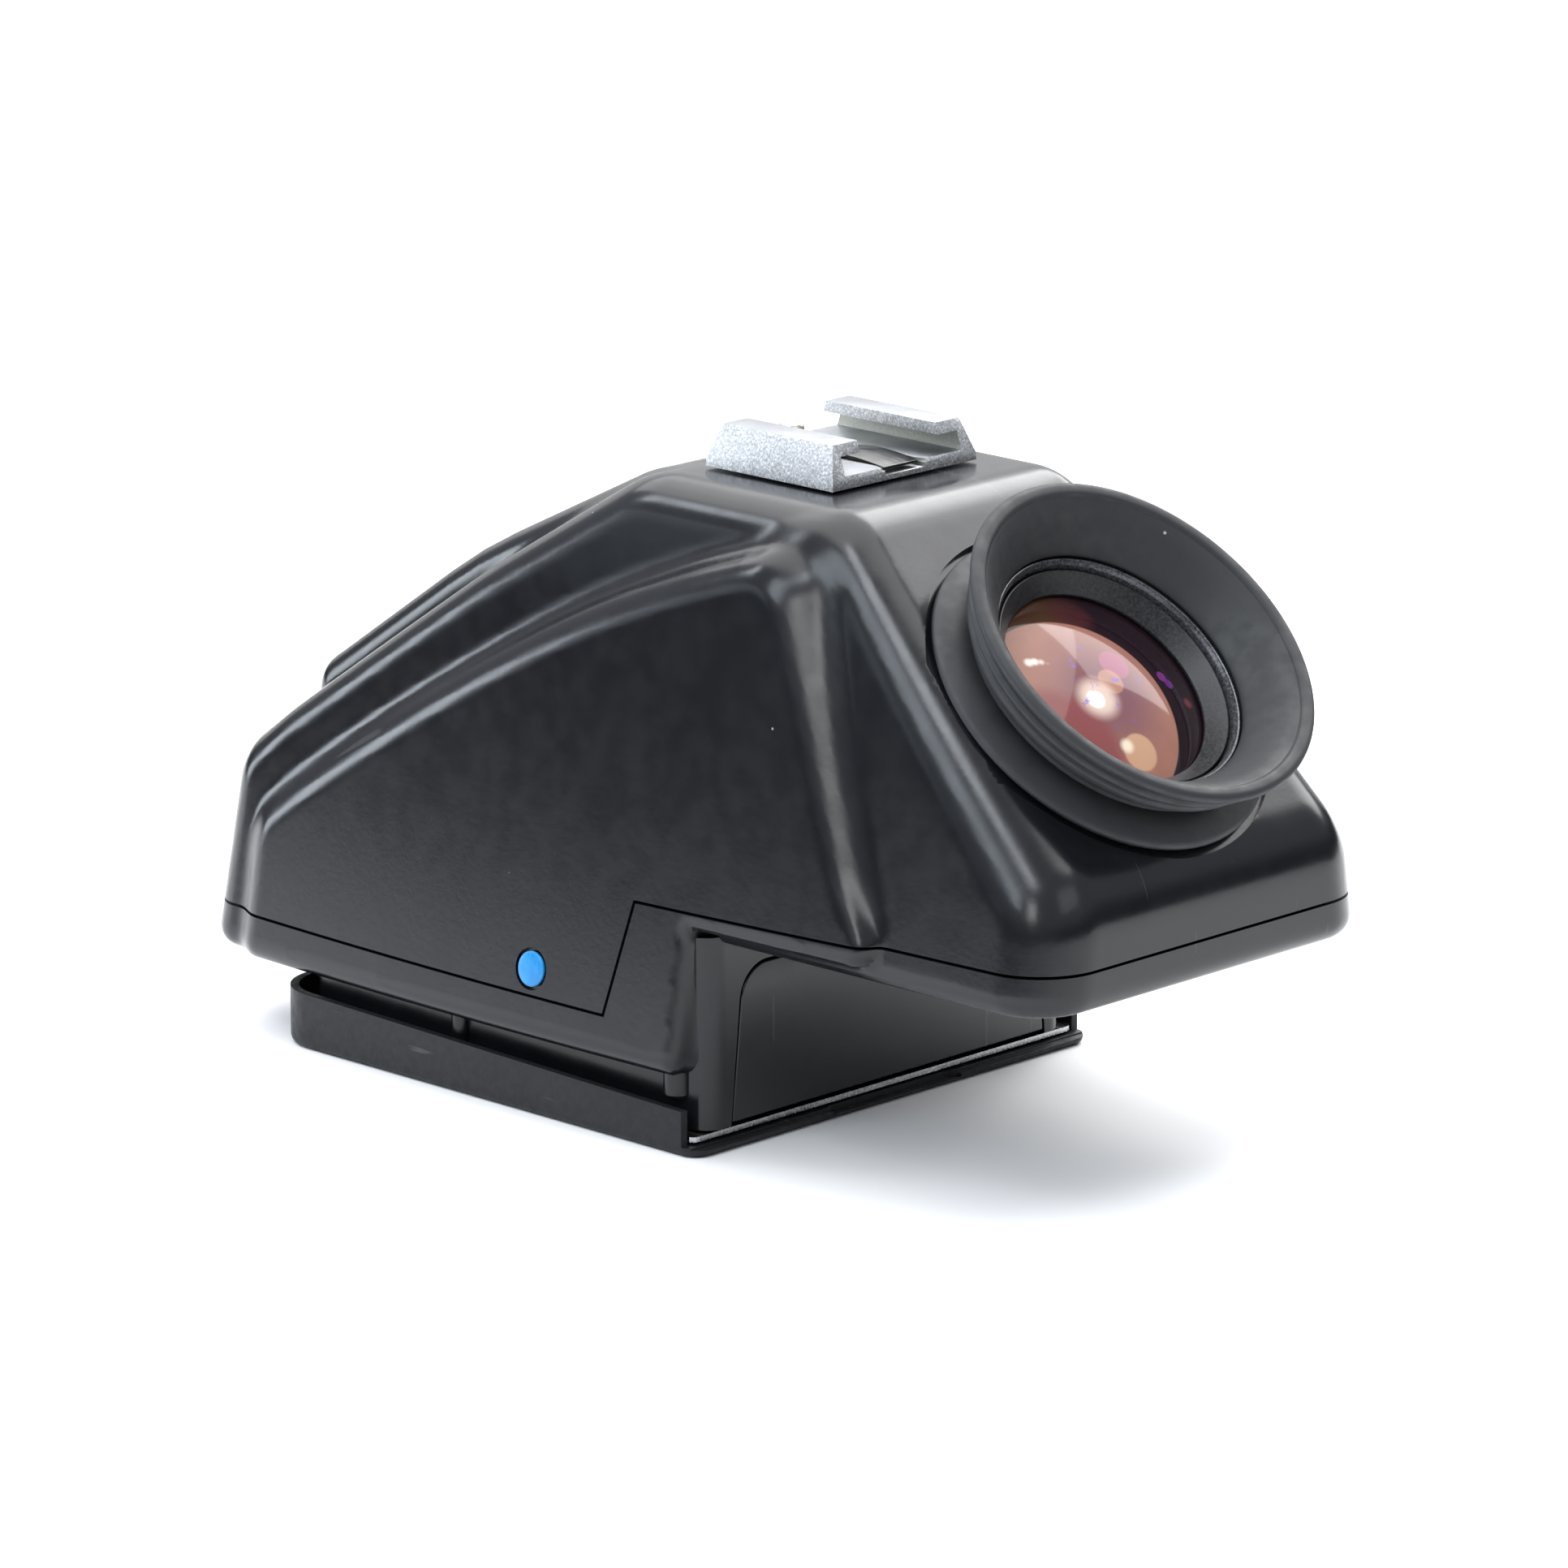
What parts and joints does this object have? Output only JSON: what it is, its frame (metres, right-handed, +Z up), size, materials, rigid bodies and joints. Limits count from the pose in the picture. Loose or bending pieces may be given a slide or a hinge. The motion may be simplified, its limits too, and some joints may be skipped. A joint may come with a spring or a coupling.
{
  "type": "prism viewfinder",
  "caption": "Interchangeable prism viewfinder with a rubber eyecup, dioptre ring, accessory shoe and a slide-off protective base cover.",
  "frame": {"origin": "on the base cover's underside, straight below the centre of the light well and of the base plate's screw pattern", "axes": "+Z up; +Y towards the lens end, so the eyepiece is at -Y; -X is the user's left side, with the index mark"},
  "size_m": [0.067, 0.1348, 0.0768],
  "materials": {
    "black_paint": "semi-gloss black with a fine orange-peel grain",
    "steel": "fine brushed",
    "black_plastic": "matt, fine grain",
    "black_anodised": "matt black anodised",
    "clear_glass": "polished",
    "cork": "cork sheet",
    "aluminium": "fine blasted",
    "spring_steel": "dark polished spring steel",
    "brass": "pale, lightly worn",
    "black_rubber": "matt rubber",
    "coated_glass": "anti-reflection coated, pink and peach",
    "blue_enamel": "smooth"
  },
  "bodies": {
    "housing": {"upper_shell": "black_paint", "lower_shell": "black_paint", "rear_panel": "black_paint", "base_plate": "steel", "screen_frame": "black_anodised", "prism": "clear_glass", "prism_pad_left": "cork", "prism_pad_right": "cork", "prism_clamp": "black_anodised", "shoe_body": "aluminium", "shoe_stop_pin": "brass", "shoe_screw_1": "steel", "shoe_screw_2": "steel", "eyepiece_barrel": "black_anodised", "barrel_screw_1": "steel", "barrel_screw_2": "steel", "barrel_screw_3": "steel", "casing_screw_1": "steel", "casing_screw_2": "steel", "casing_screw_3": "steel", "casing_screw_4": "steel", "plate_screw_1": "steel", "plate_screw_2": "steel", "plate_screw_3": "steel", "plate_screw_4": "steel", "index_mark": "blue_enamel"},
    "cover": {"base_cover": "black_plastic"},
    "dioptre": {"dioptre_ring": "black_rubber", "eyecup": "black_rubber"},
    "lens_group": {"lens_cell": "black_anodised", "dioptre_pin": "steel", "eye_lens": "coated_glass", "lens_spacer_1": "black_anodised", "middle_lens": "coated_glass", "lens_spacer_2": "black_anodised", "front_lens": "coated_glass", "retaining_ring": "black_anodised"},
    "spring_leaf": {"shoe_spring": "spring_steel"}
  },
  "joints": [
    {"name": "cover_slide", "type": "slide", "parent": "housing", "child": "cover", "axis": [0, 1, 0], "range_m": [0, 0.072]},
    {"name": "dioptre_turn", "type": "hinge", "parent": "housing", "child": "dioptre", "pos_m": [0, -0.0625, 0.0519], "axis": [0, -0.6756, 0.7373], "range_deg": [-60, 60]},
    {"name": "lens_slide", "type": "slide", "parent": "housing", "child": "lens_group", "axis": [0, -0.6756, 0.7373], "range_m": [-0.002, 0.002]},
    {"name": "shoe_spring_flex", "type": "hinge", "parent": "housing", "child": "spring_leaf", "pos_m": [0, -0.0194, 0.07295], "axis": [1, 0, 0], "range_deg": [0, 1.5], "stiffness_Nm_per_rad": 0.5}
  ],
  "couplings": [
    {"joint": "lens_slide", "follows": "dioptre_turn", "m_per_rad": 0.0019}
  ]
}
